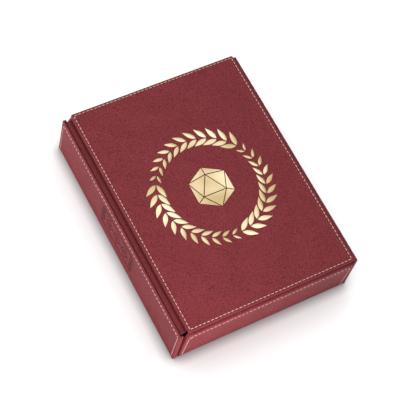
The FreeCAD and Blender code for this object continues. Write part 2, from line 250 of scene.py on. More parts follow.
@dataclass(frozen=True)
class Leather:
    """Corrected-grain cowhide, dyed through and sealed.

    The embossed pebble grain is rounded between fine creases, and the sealer gives a soft satin shine that
    is a little rougher in the creases. Lengths are in millimetres.
    """

    name: str
    colour: str
    crease: str
    rubbed: str
    shadow: str = "#1f0709"  # painted shade in the pressed lines, creases and hidden edges
    grain: float = 1.3  # drawn a little coarser than the real 0.8 so that it shows
    stray: float = 3.0  # over which the grain's lines wander
    wrinkle: float = 0.9  # the finest wrinkles, on the pebbles
    mottle: float = 26.0  # the patches of the dye
    relief: float = 0.11
    roughness: float = 0.54
    rougher: float = 0.14  # in a crease
    smoother: float = 0.06  # on a pebble
    shine: float = 0.12  # the specular level of the sealer

    def make(self) -> bpy.types.Material:
        """Build the material.

        Returns:
            The material.
        """
        leather, shader = start_material(self.name)
        place = output(add_node(leather, "ShaderNodeTexCoord"), "Object")
        stray = add_node(leather, "ShaderNodeTexNoise", {"Vector": place, "Scale": per_mm(self.stray)})
        bent = add_node(leather, "ShaderNodeMix",
                        {"Factor": self.grain * MM / 2, "A": place, "B": output(stray, "Color")},
                        data_type="VECTOR")
        cells = add_node(leather, "ShaderNodeTexVoronoi",
                         {"Vector": output(bent, "Result"), "Scale": per_mm(self.grain)},
                         feature="DISTANCE_TO_EDGE")
        pebble = add_node(leather, "ShaderNodeMapRange",
                          {"Value": output(cells, "Distance"), "From Max": 0.22},
                          interpolation_type="SMOOTHSTEP")
        wrinkle = add_node(leather, "ShaderNodeTexNoise",
                           {"Vector": place, "Scale": per_mm(self.wrinkle), "Detail": 2.0})
        height = add_node(leather, "ShaderNodeMix",
                          {"Factor": 0.35, "A": output(pebble, "Result"), "B": output(wrinkle, "Fac")},
                          data_type="FLOAT")
        bump = add_node(leather, "ShaderNodeBump",
                        {"Height": output(height, "Result"), "Distance": self.relief * MM,
                         "Strength": 0.8})
        mottle = add_node(leather, "ShaderNodeTexNoise",
                          {"Vector": place, "Scale": per_mm(self.mottle), "Detail": 4.0,
                           "Roughness": 0.6})
        worn = add_node(leather, "ShaderNodeMapRange",
                        {"Value": output(mottle, "Fac"), "From Min": 0.35, "From Max": 0.75})
        body = add_node(leather, "ShaderNodeMix",
                        {"Factor": output(worn, "Result"), "A": linear(self.colour),
                         "B": linear(self.rubbed)}, data_type="RGBA")
        dyed = add_node(leather, "ShaderNodeMix",
                        {"Factor": output(height, "Result"), "A": linear(self.crease),
                         "B": output(body, "Result")}, data_type="RGBA")
        # Painted shade: the colour turns to the shadow colour where the mesh attribute marks a stitch
        # groove, a tooled line, a crease or a hidden edge.
        pressed = add_node(leather, "ShaderNodeAttribute", attribute_name=PAINTED_SHADE)
        painted_shade_mix = add_node(leather, "ShaderNodeMix",
                          {"Factor": output(pressed, "Fac"), "A": output(dyed, "Result"),
                           "B": linear(self.shadow)}, data_type="RGBA")
        satin = add_node(leather, "ShaderNodeMapRange",
                         {"Value": output(height, "Result"), "To Min": self.roughness + self.rougher,
                          "To Max": self.roughness - self.smoother})
        connect(leather, shader, {
            "Base Color": output(painted_shade_mix, "Result"), "Roughness": output(satin, "Result"),
            "Normal": output(bump, "Normal"), "IOR": 1.48, "Specular IOR Level": self.shine})
        return leather


@dataclass(frozen=True)
class Velvet:
    """Black cotton velvet, cut pile, whose nap is brushed lighter in soft patches."""

    name: str = "black_velvet"
    colour: str = "#0d0b0c"
    brushed: str = "#1b1819"
    fuzz: str = "#8c8488"  # the tint of the light that the pile's tips catch
    pile: float = 0.7  # millimetres, coarser than the real 0.3 so that it shows
    patch: float = 38.0  # millimetres

    def make(self) -> bpy.types.Material:
        """Build the material.

        Returns:
            The material.
        """
        velvet, shader = start_material(self.name)
        place = output(add_node(velvet, "ShaderNodeTexCoord"), "Object")
        nap = add_node(velvet, "ShaderNodeTexNoise",
                       {"Vector": place, "Scale": per_mm(self.pile), "Detail": 2.0})
        patches = add_node(velvet, "ShaderNodeTexNoise",
                           {"Vector": place, "Scale": per_mm(self.patch), "Detail": 2.0,
                            "Distortion": 0.8})
        brushed = add_node(velvet, "ShaderNodeMapRange",
                           {"Value": output(patches, "Fac"), "From Min": 0.4, "From Max": 0.65})
        colour = add_node(velvet, "ShaderNodeMix",
                          {"Factor": output(brushed, "Result"), "A": linear(self.colour),
                           "B": linear(self.brushed)}, data_type="RGBA")
        bump = add_node(velvet, "ShaderNodeBump",
                        {"Height": output(nap, "Fac"), "Distance": 0.25 * MM, "Strength": 0.7})
        connect(velvet, shader, {
            "Base Color": output(colour, "Result"), "Normal": output(bump, "Normal"),
            "Roughness": 0.95, "Sheen Weight": 0.55, "Sheen Roughness": 0.35,
            "Sheen Tint": linear(self.fuzz)})
        return velvet


@dataclass(frozen=True)
class Fibrous:
    """A dull finish of fibres in two tones, whose paler fibres also stand up. Lengths in millimetres."""

    name: str
    colour: str
    shaded: str
    fibre: float
    detail: float
    tangle: float
    stand: float  # how strongly the fibres stand up
    roughness: float
    relief: float = 0.1

    def make(self) -> bpy.types.Material:
        """Build the material.

        Returns:
            The material.
        """
        material, shader = start_material(self.name)
        place = output(add_node(material, "ShaderNodeTexCoord"), "Object")
        fibres = output(add_node(material, "ShaderNodeTexNoise",
                                 {"Vector": place, "Scale": per_mm(self.fibre), "Detail": self.detail,
                                  "Distortion": self.tangle}), "Fac")
        colour = add_node(material, "ShaderNodeMix",
                          {"Factor": fibres, "A": linear(self.shaded), "B": linear(self.colour)},
                          data_type="RGBA")
        bump = add_node(material, "ShaderNodeBump",
                        {"Height": fibres, "Distance": self.relief * MM, "Strength": self.stand})
        connect(material, shader, {
            "Base Color": output(colour, "Result"), "Normal": output(bump, "Normal"),
            "Roughness": self.roughness})
        return material


@dataclass(frozen=True)
class GoldFoil:
    """Hot-stamped gold foil: bright metal, a little rubbed, that takes the leather's grain as a ripple.

    It is paler and deeper in turns across the cover, a painted reflection of uneven light. Lengths are in
    millimetres.
    """

    name: str = "gold_foil"
    colour: str = "#d7caa8"
    deep: str = "#a9946b"
    ripple: float = 1.6
    rub: float = 9.0
    painted_reflection_patch: float = 46.0

    def make(self) -> bpy.types.Material:
        """Build the material.

        Returns:
            The material.
        """
        foil, shader = start_material(self.name)
        place = output(add_node(foil, "ShaderNodeTexCoord"), "Object")
        grain = add_node(foil, "ShaderNodeTexNoise",
                         {"Vector": place, "Scale": per_mm(self.ripple), "Detail": 2.0})
        rub = add_node(foil, "ShaderNodeTexNoise",
                       {"Vector": place, "Scale": per_mm(self.rub), "Detail": 3.0})
        # Painted reflection: patches of paler and deeper gold stand in for the uneven light that the foil
        # mirrors.
        painted_reflection_patch = add_node(foil, "ShaderNodeTexNoise", {"Vector": place, "Scale": per_mm(self.painted_reflection_patch)})
        shift = add_node(foil, "ShaderNodeMapRange",
                         {"Value": output(painted_reflection_patch, "Fac"), "From Min": 0.35, "From Max": 0.62})
        colour = add_node(foil, "ShaderNodeMix",
                          {"Factor": output(shift, "Result"), "A": linear(self.deep),
                           "B": linear(self.colour)}, data_type="RGBA")
        rough = add_node(foil, "ShaderNodeMapRange",
                         {"Value": output(rub, "Fac"), "To Min": 0.28, "To Max": 0.5})
        bump = add_node(foil, "ShaderNodeBump",
                        {"Height": output(grain, "Fac"), "Distance": 0.12 * MM, "Strength": 0.5})
        connect(foil, shader, {
            "Base Color": output(colour, "Result"), "Roughness": output(rough, "Result"),
            "Normal": output(bump, "Normal"), "Metallic": 1.0})
        return foil


@dataclass(frozen=True)
class Nickel:
    """Nickel plating on a neodymium disc: bright metal with faint tumbling marks."""

    name: str = "nickel_magnet"
    colour: str = "#c8c5bd"
    mark: float = 0.8  # millimetres

    def make(self) -> bpy.types.Material:
        """Build the material.

        Returns:
            The material.
        """
        nickel, shader = start_material(self.name)
        place = output(add_node(nickel, "ShaderNodeTexCoord"), "Object")
        marks = add_node(nickel, "ShaderNodeTexNoise",
                         {"Vector": place, "Scale": per_mm(self.mark), "Detail": 3.0})
        rough = add_node(nickel, "ShaderNodeMapRange",
                         {"Value": output(marks, "Fac"), "To Min": 0.15, "To Max": 0.35})
        connect(nickel, shader, {
            "Roughness": output(rough, "Result"), "Base Color": linear(self.colour), "Metallic": 1.0})
        return nickel


class Finishes:
    """Every material of the tray, made once, by the slot that it belongs to."""

    def __init__(self) -> None:
        """Build the materials."""
        self.by_slot = {
            Slot.LEATHER: Leather("burgundy_leather", "#762a2f", "#3f1317", "#803036").make(),
            Slot.STRIP: Leather("strip_leather", "#642629", "#3a1114", "#6d2a2e", roughness=0.7,
                                shine=0.08).make(),
            Slot.VELVET: Velvet().make(),
            # Waxed polyester saddlery thread in cream: the fibres are the fine shadow lines of its twist.
            Slot.THREAD: Fibrous("cream_thread", "#c8a193", "#986f64", fibre=0.5, detail=1.0, tangle=0.0,
                                 stand=0.5, roughness=0.55).make(),
            Slot.FOIL: GoldFoil().make(),
            # Bookbinder's board: matt pressed pulp, coloured near-black, so that it shows dark where it is
            # seen at a fold.
            Slot.BOARD: Fibrous("grey_board", "#232122", "#161415", fibre=1.4, detail=4.0, tangle=1.2,
                                stand=0.6, roughness=0.9).make(),
            Slot.NICKEL: Nickel().make(),
        }

    def dress(self, nodes: dict[str, bpy.types.Object]) -> None:
        """Give each CAD node the material of what it is made of.

        Args:
            nodes: the CAD nodes by name.
        """
        by_ending = {"skin": Slot.LEATHER, "fold": Slot.LEATHER, "strip": Slot.STRIP,
                     "crease": Slot.STRIP, "tongue": Slot.STRIP, "lining": Slot.VELVET,
                     "board": Slot.BOARD, "stitching": Slot.THREAD, "magnets": Slot.NICKEL,
                     "die": Slot.FOIL, "wreath": Slot.FOIL}
        for name, node in nodes.items():
            material = self.by_slot[by_ending[name.rsplit("_", 1)[1]]]
            if not node.material_slots:
                node.data.materials.append(material)
            for held in node.material_slots:
                held.material = material


# --- Meshes ---


def save_piece(name: str, shape: Mesh, place: Matrix, finishes: Finishes, slot: Slot,
               replaces: Iterable[str]) -> bpy.types.Object:
    """Turn a mesh modelled in millimetres into a piece of the scene.

    Args:
        name: the piece's name.
        shape: its mesh, which is freed.
        place: where the mesh's origin and axes go, in metres.
        finishes: the tray's materials.
        slot: the record's slot that it takes its finish from.
        replaces: the CAD nodes that it stands for.

    Returns:
        The new object, at the origin.
    """
    shape.transform(place @ Matrix.Scale(MM, 4))
    for face in shape.faces:
        face.smooth = True
    mesh = bpy.data.meshes.new(name)
    shape.to_mesh(mesh)
    shape.free()
    mesh.set_sharp_from_angle(angle=SHARP_ANGLE)
    mesh.materials.append(finishes.by_slot[slot])
    piece = bpy.data.objects.new(name, mesh)
    bpy.context.scene.collection.objects.link(piece)
    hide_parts(*replaces)
    LOG.info("%s: %d faces", name, len(mesh.polygons))
    return piece


def cut_across(shape: Mesh, axis: Vector, places: Iterable[float]) -> None:
    """Cut a mesh with planes square to an axis, at each place along it.

    Args:
        shape: the mesh.
        axis: the axis, from the mesh's origin.
        places: how far along it each cut is.
    """
    for place in places:
        geometry = shape.verts[:] + shape.edges[:] + shape.faces[:]
        bmesh.ops.bisect_plane(shape, geom=geometry, dist=1e-5, plane_co=axis * place, plane_no=axis)


def pull(shape: Mesh, faces: list[bmesh.types.BMFace], offset: tuple[float, float, float]
         ) -> list[bmesh.types.BMVert]:
    """Extrude faces.

    Args:
        shape: the mesh.
        faces: the faces to extrude.
        offset: how far the new faces move.

    Returns:
        The points of the new faces.
    """
    pulled = bmesh.ops.extrude_face_region(shape, geom=faces)["geom"]
    verts = [v for v in pulled if isinstance(v, bmesh.types.BMVert)]
    bmesh.ops.translate(shape, vec=offset, verts=verts)
    return verts


def face_out(shape: Mesh) -> None:
    """Turn every face outwards."""
    bmesh.ops.recalc_face_normals(shape, faces=shape.faces[:])


def round_off(shape: Mesh, parts: list[bmesh.types.BMEdge] | list[bmesh.types.BMVert], reach: float,
              segments: int, affect: str = "EDGES") -> None:
    """Round edges or corners.

    Args:
        shape: the mesh.
        parts: the edges, or the corners' points.
        reach: how far from the edge the rounding starts.
        segments: how many strips it has.
        affect: "EDGES" or "VERTICES".
    """
    bmesh.ops.bevel(shape, geom=parts, offset=reach, segments=segments, profile=0.5, affect=affect,
                    material=-1)


# --- Panels ---


@dataclass
class StitchRow:
    """A row of topstitching along a path: single stitches that rise from one hole and dive in the next.

    Sizes are in millimetres.
    """

    path: list[Point]
    pitch: float = 4.1
    gap: float = 1.6
    rise: float = 0.4
    thread_radius: float = 0.34
    sunk: float = 0.14

    def model_stitch(self, length: float) -> bpy.types.Mesh:
        """Sweep the thread's round section along a shallow arc that runs along X.

        Args:
            length: from hole to hole.

        Returns:
            A mesh to copy for each stitch of that length.
        """
        bend = (length ** 2 / 4 + self.rise ** 2) / (2 * self.rise)
        half = math.asin(length / 2 / bend)
        shape = bmesh.new()
        bmesh.ops.create_circle(shape, cap_ends=True, segments=6, radius=self.thread_radius)
        start = Matrix.Rotation(-half, 4, "Y") @ Matrix.Translation((0, 0, bend))
        bmesh.ops.transform(shape, matrix=start @ Matrix.Rotation(QUARTER, 4, "Y"),
                            verts=shape.verts[:])
        bmesh.ops.spin(shape, geom=shape.verts[:] + shape.edges[:] + shape.faces[:], cent=(0, 0, 0),
                       axis=ALONG_Y, angle=2 * half, steps=4)
        bmesh.ops.translate(shape, vec=(0, 0, self.rise - bend - self.sunk), verts=shape.verts[:])
        face_out(shape)
        stitch = bpy.data.meshes.new("stitch")
        shape.to_mesh(stitch)
        shape.free()
        return stitch

    def build(self) -> Mesh:
        """Model the whole row.

        Returns:
            The mesh of every stitch.
        """
        shape = bmesh.new()
        for start, end in zip(self.path, self.path[1:]):
            run = Vector((*end, 0)) - Vector((*start, 0))
            count = max(1, round(run.length / self.pitch))
            step = run / count
            stitch = self.model_stitch(step.length - self.gap)
            turn = Matrix.Rotation(math.atan2(run.y, run.x), 4, "Z")
            for i in range(count):
                before = len(shape.verts)
                shape.from_mesh(stitch)
                spot = Matrix.Translation(Vector((*start, 0)) + step * (i + 0.5))
                bmesh.ops.transform(shape, matrix=spot @ turn, verts=shape.verts[:][before:])
            bpy.data.meshes.remove(stitch)
        return shape


@dataclass
class Ornament:
    """A plain geometric ornament pressed into the spine: three linked lozenges in a double frame.

    Sizes are in millimetres.
    """

    centre: Point
    length: float = 56.0
    height: float = 26.0
    line: float = 1.2
    margin: float = 5.4
    deep: float = 0.45
    spacing: float = 0.45  # of the cuts that carry it
    foot: float = 0.1  # the flat foot of a pressed line ends this far inside its width
    slope: float = 0.4  # and its side this far outside
    clear: float = 2.0  # nothing is pressed further than this from the frame

    def lozenge(self, x: float, half_x: float, half_y: float) -> list[Point]:
        """The closed outline of a lozenge on the ornament's middle line."""
        y = self.centre[1]
        return [(x + half_x, y), (x, y + half_y), (x - half_x, y), (x, y - half_y), (x + half_x, y)]

    def frame(self, inset: float) -> list[Point]:
        """The closed outline of the frame, moved inwards.

        Args:
            inset: how far inwards.

        Returns:
            The frame's corners, the first one twice.
        """
        half_x, half_y = self.length / 2 - inset, self.height / 2 - inset
        corners = ((1, 1), (-1, 1), (-1, -1), (1, -1), (1, 1))
        return [(self.centre[0] + sx * half_x, self.centre[1] + sy * half_y) for sx, sy in corners]

    def lines(self) -> list[tuple[list[Point], float]]:
        """Each pressed line of the ornament with its width.

        Returns:
            Pairs of a closed path and a width.
        """
        reach_x = (self.length / 2 - self.margin) / 3
        reach_y = self.height / 2 - self.margin
        found = [(self.frame(0.0), self.line), (self.frame(2 * self.line), self.line / 2)]
        for step in (-2, 0, 2):
            x = self.centre[0] + step * reach_x
            found.append((self.lozenge(x, reach_x - self.line, reach_y), self.line))
            found.append((self.lozenge(x, reach_x / 6, reach_y / 6), reach_x / 3))
        return found

    def depth(self, x: float, y: float) -> float:
        """How deep the leather is pressed at a point.

        Args:
            x: along the spine.
            y: up the spine.

        Returns:
            The depth, 0 away from any line.
        """
        if (abs(x - self.centre[0]) > self.length / 2 + self.clear
                or abs(y - self.centre[1]) > self.height / 2 + self.clear):
            return 0.0
        press = max(1 - smooth(width / 2 - self.foot, width / 2 + self.slope, path_distance(x, y, path))
                    for path, width in self.lines())
        return self.deep * press

    def refine(self, shape: Mesh) -> None:
        """Cut the leather finely enough for the pressed lines.

        Args:
            shape: the spine's leather.
        """
        for axis, middle, reach in ((ALONG_X, self.centre[0], self.length / 2 + 1),
                                    (ALONG_Y, self.centre[1], self.height / 2 + 1)):
            cut_across(shape, axis, steps(middle - reach, middle + reach, self.spacing))


@dataclass
class Panel:
    """A leather-covered board, lined with velvet: the cover or one of the walls.

    A wall is open at its bottom, where its leather goes on into the fold. Sizes are in millimetres, and
    the painted shade in the stitch groove, the tooled lines and below the rounded edge is a share of the
    leather's shadow colour.
    """

    name: str
    body: Body
    place: Matrix
    length: float
    low: float
    high: float
    corner: float
    stitches: StitchRow
    thick: float
    open_low: bool = True
    core_high: float | None = None  # where the board ends short of the outer leather's top
    ornament: Ornament | None = None
    skin: float = 1.0
    lining: float = 0.6
    lining_corner: float = 0.5
    lining_round: float = 0.35
    edge_round: float = 0.95
    groove: float = 0.3
    groove_width: float = 0.55
    puff: float = 0.16
    puff_width: float = 0.8
    puff_away: float = 1.5
    waviness: float = 0.07
    wave_length: float = 24.0
    wave_fade: float = 3.0
    # Painted shade, as shares of the shadow colour: in the stitch groove and how widely, in the tooled
    # lines, and on the sides and back below the rounded edge.
    groove_shade: float = 0.45
    groove_shade_width: float = 0.5
    tooled_shade: float = 0.7
    edge_dye: float = 0.0
    cut_reach: float = 7.0
    cut_near: float = 0.55
    cut_far: float = 5.0

    def relief(self, x: float, y: float) -> float:
        """How far the leather's face stands out or in at a point.

        Args:
            x: along the panel.
            y: up or across it.

        Returns:
            The height over the flat face, negative in a groove.
        """
        off = path_distance(x, y, self.stitches.path)
        swell = (self.puff * bell(off - self.puff_away, self.puff_width)
                 - self.groove * bell(off, self.groove_width))
        seed = len(self.name)  # so that panels differ
        wave = self.waviness * noise.noise(Vector((x / self.wave_length, y / self.wave_length, seed)))
        pressed = self.ornament.depth(x, y) if self.ornament else 0.0
        held = smooth(self.low, self.low + self.wave_fade, y) if self.open_low else 1.0
        return (swell + wave) * held - pressed

    def painted_shade_share(self, x: float, y: float) -> float:
        """How much painted shade a point of the face takes in the stitch groove and the tooled lines, from
        0 to 1.

        Args:
            x: along the panel.
            y: up or across it.

        Returns:
            The share of shadow colour.
        """
        along = self.groove_shade * bell(path_distance(x, y, self.stitches.path), self.groove_shade_width)
        if not self.ornament:
            return along
        return max(along, self.tooled_shade * self.ornament.depth(x, y) / self.ornament.deep)

    def outline(self, low: float, high: float, inset: float, corner: float) -> Mesh:
        """A flat face with round corners, whose lower corners stay square on a wall.

        Args:
            low: the bottom edge.
            high: the top edge.
            inset: how far in both ends are.
            corner: how far from its point a corner's rounding starts.

        Returns:
            The mesh of one face.
        """
        shape = bmesh.new()
        left, right = inset, self.length - inset
        verts = [shape.verts.new((x, y, 0))
                 for x, y in ((left, low), (right, low), (right, high), (left, high))]
        shape.faces.new(verts)
        round_off(shape, verts[2:] if self.open_low else verts, corner, 6, "VERTICES")
        return shape

    def rim_edges(self, shape: Mesh) -> list[bmesh.types.BMEdge]:
        """The edges round the leather's face, apart from a wall's bottom.

        Args:
            shape: the leather's mesh.

        Returns:
            The edges to round.
        """
        found = []
        for edge in shape.edges:
            level = all(abs(v.co.z) < SAME for v in edge.verts)
            bottom = self.open_low and all(abs(v.co.y - self.low) < SAME for v in edge.verts)
            if level and not bottom:
                found.append(edge)
        return found

    def back_faces(self, shape: Mesh) -> list[bmesh.types.BMFace]:
        """The faces that lie in the plane of the panel's back."""
        return [f for f in shape.faces if all(abs(v.co.z + self.thick) < SAME for v in f.verts)]

    def build_leather(self) -> Mesh:
        """The leather with its turned edges, hollow at the back for the board and the lining.

        Returns:
            The leather's mesh.
        """
        shape = self.outline(self.low, self.high, 0.0, self.corner)
        pull(shape, shape.faces[:], (0, 0, -self.thick))
        face_out(shape)
        round_off(shape, self.rim_edges(shape), self.edge_round, 4)
        if self.core_high is not None:
            self.cut_ledge(shape)
        self.hollow(shape)
        cut_across(shape, ALONG_X, self.cuts(0.0, self.length, True))
        cut_across(shape, ALONG_Y, self.cuts(self.low, self.high, not self.open_low))
        if self.ornament:
            self.ornament.refine(shape)
        shape.normal_update()
        # Painted shade: the sides and back below the rounded edge, then the stitch groove and the tooled
        # lines on the face, are darkened through the mesh attribute.
        pressed = shape.verts.layers.float.new(PAINTED_SHADE)
        face = [v for v in shape.verts if v.co.z > -NEAR and v.normal.z > 0.5]
        for vert in shape.verts:
            vert[pressed] = self.edge_dye if vert.co.z < -self.edge_round else 0.0
        for vert in face:
            vert[pressed] = self.painted_shade_share(vert.co.x, vert.co.y)
            vert.co.z += self.relief(vert.co.x, vert.co.y)
        return shape

    def cuts(self, start: float, end: float, both: bool) -> list[float]:
        """Places for cuts across the panel, close together near its edges and wide apart between.

        Args:
            start: the first edge.
            end: the last edge.
            both: whether the cuts are close together at the first edge too.

        Returns:
            The places.
        """
        first, last = start + self.cut_reach if both else start, end - self.cut_reach
        places = steps(first, last, self.cut_far) + [first, last] + steps(last, end, self.cut_near)
        if both:
            places += steps(start, first, self.cut_near)
        return [p for p in places if p > start + NEAR]

    def cut_ledge(self, shape: Mesh) -> None:
        """Leave only the outer leather standing above the board, where the hinge strip lies.

        Args:
            shape: the leather's mesh.
        """
        lip = 0.03
        cut_across(shape, ALONG_Z, (-self.skin, -self.skin - lip))
        for vert in shape.verts:
            if vert.co.z < -self.skin - lip / 2 and vert.co.y > self.core_high:
                vert.co.y = self.core_high

    def hollow(self, shape: Mesh) -> None:
        """Sink the back of the panel between its turned edges.

        Args:
            shape: the leather's mesh.
        """
        film, near = 0.02, 0.1
        bmesh.ops.inset_region(shape, faces=self.back_faces(shape), thickness=self.skin,
                               use_even_offset=True)
        floor = max(self.back_faces(shape), key=lambda f: f.calc_area())
        for vert in floor.verts:
            if self.open_low and vert.co.y < self.low + self.skin + near:
                vert.co.y = self.low + film
            if self.core_high is not None and vert.co.y > self.core_high - self.skin - near:
                vert.co.y = self.core_high - film
        pull(shape, [floor], (0, 0, self.thick - self.skin))
        if floor.is_valid:
            bmesh.ops.delete(shape, geom=[floor], context="FACES_ONLY")
        face_out(shape)

    def build_lining(self) -> Mesh:
        """The velvet, glued on the board and rounded over at its edges.

        Returns:
            The velvet's mesh.
        """
        top = self.core_high if self.core_high is not None else self.high - self.skin
        low = self.low if self.open_low else self.low + self.skin
        shape = self.outline(low, top, self.skin, self.lining_corner)
        bmesh.ops.reverse_faces(shape, faces=shape.faces[:])
        pull(shape, shape.faces[:], (0, 0, -self.lining))
        face_out(shape)
        rim = [e for e in shape.edges if all(v.co.z < -self.lining / 2 for v in e.verts)]
        round_off(shape, rim, self.lining_round, 3)
        bmesh.ops.translate(shape, vec=(0, 0, self.lining - self.thick), verts=shape.verts[:])
        return shape

    def build(self, finishes: Finishes) -> None:
        """Add the panel's leather, lining and topstitching.

        Args:
            finishes: the tray's materials.
        """
        for kind, shape, slot, node in (
                ("leather", self.build_leather(), Slot.LEATHER, "skin"),
                ("velvet", self.build_lining(), Slot.VELVET, "lining"),
                ("stitches", self.stitches.build(), Slot.THREAD, "stitching")):
            piece = save_piece(f"{self.name}_{kind}", shape, self.place, finishes, slot,
                               [f"{self.name}_{node}"])
            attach(piece, self.body.value)


@dataclass
class WallFold:
    """The leather that bends from the base into a wall, with fine cross wrinkles. In millimetres."""

    name: str
    body: Body
    place: Matrix
    length: float
    radius: float = 1.5
    skin: float = 1.0
    spacing: float = 2.5
    wrinkle: float = 0.06
    wrinkle_length: float = 2.5
    wrinkle_width: float = 3.0

    def build(self, finishes: Finishes) -> None:
        """Sweep the leather's section round the fold.

        Args:
            finishes: the tray's materials.
        """
        shape = bmesh.new()
        inner = self.radius - self.skin
        middle = Vector((0, self.radius, -self.radius))
        section = [shape.verts.new((x, self.radius, z - self.radius))
                   for x, z in ((0, self.radius), (self.length, self.radius),
                                (self.length, inner), (0, inner))]
        face = shape.faces.new(section)
        bmesh.ops.spin(shape, geom=[face, *face.edges, *section], cent=middle, axis=ALONG_X,
                       angle=QUARTER, steps=10)
        bmesh.ops.remove_doubles(shape, verts=shape.verts[:], dist=SAME)
        face_out(shape)
        cut_across(shape, ALONG_X, steps(0.0, self.length, self.spacing))
        for vert in shape.verts:
            arm = Vector((0, vert.co.y - middle.y, vert.co.z - middle.z))
            if arm.length > (self.radius + inner) / 2:
                ripple = noise.noise(Vector((vert.co.x / self.wrinkle_length,
                                             vert.co.y / self.wrinkle_width,
                                             vert.co.z / self.wrinkle_width)))
                sides = math.sin(2 * math.atan2(arm.z, -arm.y))
                vert.co -= arm.normalized() * self.wrinkle * (0.5 + 0.5 * ripple) * abs(sides)
        piece = save_piece(f"{self.name}_fold_leather", shape, self.place, finishes, Slot.LEATHER,
                           [f"{self.name}_fold"])
        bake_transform(piece)


# --- Sub-assemblies ---


class Facing(Enum):
    """Each wall by the direction that its leather faces."""

    SPINE = Vector((-1, 0, 0)).freeze()
    FORE_EDGE = Vector((1, 0, 0)).freeze()
    FRONT = Vector((0, -1, 0)).freeze()
    BACK = Vector((0, 1, 0)).freeze()


@dataclass
class Walls:
    """The four walls that stand round the base, with their topstitching and folds. In millimetres."""

    joints: list[dict]
    thick: float = 3.6
    fold: float = 1.5
    long_corner: float = 1.5
    side_corner: float = 4.5
    stitch_down: float = 4.6
    stitch_in: float = 3.2
    stitch_start: float = 1.0  # above the fold
    stitch_sunk: float = 0.3  # pulled tighter than on the cover
    long_chamfer: float = 1.6
    side_chamfer: float = 4.0
    ornament_offset: float = 0.5  # from the middle of the spine

    def upright_place(self, facing: Facing) -> tuple[Matrix, float]:
        """Where a wall's lower left corner and its axes are, and how long it is.

        Args:
            facing: which wall.

        Returns:
            The matrix of the upright wall and its length in millimetres.
        """
        low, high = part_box(f"{facing.name.lower()}_fold")
        outward = facing.value
        along = ALONG_Z.cross(outward)
        middle, half = (low + high) / 2, (high - low) / 2
        plane = middle + Vector((outward.x * half.x, outward.y * half.y, 0))
        reach = abs(along.x) * half.x + abs(along.y) * half.y
        corner = plane - along * reach
        corner.z = 0
        axes = Matrix((along, ALONG_Z, outward)).transposed().to_4x4()
        return Matrix.Translation(corner) @ axes, 2 * reach / MM

    def lean(self, facing: Facing) -> Matrix:
        """The turn of a wall that rests short of upright, about its own hinge.

        Args:
            facing: which wall.

        Returns:
            The turn, none for a wall that rests upright.
        """
        joint = next(j for j in self.joints if j["child"] == Body[facing.name].value)
        angle = -math.radians(joint["range_deg"][1])
        pivot = Matrix.Translation(Vector(joint["pos_m"]))
        return pivot @ Matrix.Rotation(angle, 4, Vector(joint["axis"])) @ pivot.inverted()

    def stitch_path(self, length: float, top: float, chamfer: float) -> list[Point]:
        """Up one end, along the top with cut corners, and down the other end.

        Args:
            length: the wall's length.
            top: the wall's top.
            chamfer: how much of each top corner the row cuts off.

        Returns:
            The row's corners.
        """
        left, right = self.stitch_in, length - self.stitch_in
        bottom, row = self.fold + self.stitch_start, top - self.stitch_down
        return [(left, bottom), (left, row - chamfer), (left + chamfer, row), (right - chamfer, row),
                (right, row - chamfer), (right, bottom)]

    def build(self, finishes: Finishes) -> None:
        """Add every wall and its fold.

        Args:
            finishes: the tray's materials.
        """
        top = box_mm("back_skin")[1].z
        for facing in Facing:
            place, length = self.upright_place(facing)
            name, body = facing.name.lower(), Body[facing.name]
            corner, chamfer = self.side_corner, self.side_chamfer
            if facing in (Facing.SPINE, Facing.FORE_EDGE):
                corner, chamfer = self.long_corner, self.long_chamfer
            stitches = StitchRow(self.stitch_path(length, top, chamfer), sunk=self.stitch_sunk)
            wall = Panel(name, body, self.lean(facing) @ place, length, low=self.fold, high=top,
                         corner=corner, stitches=stitches, thick=self.thick)
            if facing is Facing.SPINE:
                wall.core_high = box_mm("spine_board")[1].z
                wall.ornament = Ornament((length / 2 + self.ornament_offset, top / 2))
            wall.build(finishes)
            WallFold(name, body, place, length).build(finishes)


@dataclass
class Base:
    """The floor of the tray: its velvet rolling surface. In millimetres."""

    edge: float = 0.5  # the rounding of the velvet's edge

    def build(self, finishes: Finishes) -> None:
        """Add the velvet that the dice roll on.

        Args:
            finishes: the tray's materials.
        """
        low, high = box_mm("base_lining")
        shape = bmesh.new()
        bmesh.ops.create_cube(shape, size=1.0, matrix=Matrix.Diagonal((*(high - low), 1.0)))
        round_off(shape, [e for e in shape.edges if all(v.co.z > 0 for v in e.verts)], self.edge, 3)
        piece = save_piece("base_velvet", shape, Matrix.Translation((low + high) / 2 * MM), finishes,
                           Slot.VELVET, ["base_lining"])
        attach(piece, Body.BASE.value)


@dataclass
class Cover:
    """The stitched cover panel. In millimetres."""

    corner: float = 1.5
    stitch_in: float = 2.3
    # painted shade on the cover's sides and back, below its rounded edge
    edge_dye: float = 0.75

    def build(self, finishes: Finishes) -> None:
        """Add the cover's leather, velvet and topstitching.

        Args:
            finishes: the tray's materials.
        """
        low, high = box_mm("cover_skin")
        length, width = high.x - low.x, high.y - low.y
        left = near = self.stitch_in
        right, far = length - self.stitch_in, width - self.stitch_in
        stitches = StitchRow([(left, near), (right, near), (right, far), (left, far), (left, near)])
        place = Matrix.Translation(Vector((low.x, low.y, high.z)) * MM)
        Panel("cover", Body.COVER, place, length, low=0.0, high=width, corner=self.corner,
              stitches=stitches, thick=high.z - low.z, open_low=False,
              edge_dye=self.edge_dye).build(finishes)


